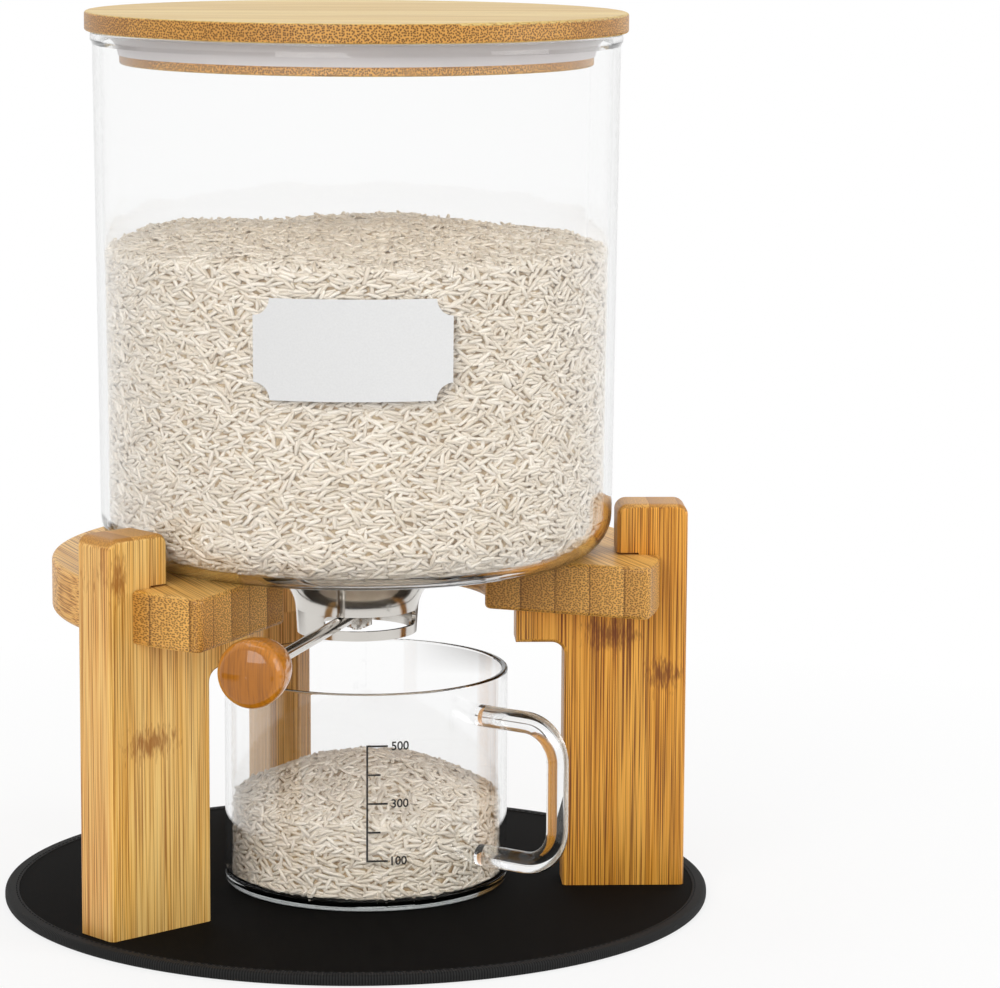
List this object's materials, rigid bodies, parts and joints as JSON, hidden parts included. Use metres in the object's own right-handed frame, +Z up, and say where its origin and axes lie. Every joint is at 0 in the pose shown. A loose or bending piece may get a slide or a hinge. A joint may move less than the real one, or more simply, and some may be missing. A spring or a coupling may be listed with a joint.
{
  "type": "rice dispenser",
  "caption": "Countertop dry-food dispenser: lidded glass jar on a slotted bamboo stand, with a lever-turned rotary gate outlet over a glass measuring cup on a round mat.",
  "frame": {"origin": "centre of the mat's underside, on the jar's axis", "axes": "+Z up along the jar's axis, -Y towards the front, where the ring is open and the lever swings"},
  "size_m": [0.28, 0.28, 0.3505],
  "materials": {
    "bamboo": "strip-laminated bamboo, satin lacquer",
    "lid_bamboo": "pale bamboo, satin lacquer",
    "knob_wood": "turned beech, gloss lacquer",
    "glass": "clear borosilicate",
    "steel": "polished stainless",
    "silicone": "milky silicone",
    "mat_cloth": "black cloth-faced rubber",
    "mat_thread": "overlocked black thread",
    "label_paper": "matt label stock"
  },
  "bodies": {
    "stand": {"mat_pad": "mat_cloth", "mat_binding": "mat_thread", "left_leg": "bamboo", "right_leg": "bamboo", "back_leg": "bamboo", "support_ring": "bamboo"},
    "jar": {"glass_jar": "glass", "jar_label": "label_paper", "inlet_flange": "steel", "inner_gasket": "silicone", "outer_gasket": "silicone", "clamp_nut": "steel", "outlet_body": "steel", "gate_seat": "steel", "pivot_pin": "steel", "pivot_clip": "steel"},
    "lid": {"lid_top": "lid_bamboo", "lid_plug": "lid_bamboo", "lid_seal": "silicone"},
    "lever": {"gate_rotor": "steel", "lever_rod": "steel", "lever_knob": "knob_wood"},
    "cup": {"cup_glass": "glass", "cup_handle": "glass"}
  },
  "joints": [
    {"name": "jar_lift", "type": "slide", "parent": "stand", "child": "jar", "axis": [0, 0, 1], "range_m": [0, 0.12]},
    {"name": "lid_lift", "type": "slide", "parent": "jar", "child": "lid", "axis": [0, 0, 1], "range_m": [0, 0.1]},
    {"name": "valve_lever", "type": "hinge", "parent": "jar", "child": "lever", "pos_m": [0, 0, 0.1129], "axis": [0, 0, 1], "range_deg": [0, 78]},
    {"name": "cup_slide", "type": "slide", "parent": "stand", "child": "cup", "axis": [0, -1, 0], "range_m": [0, 0.22]}
  ]
}
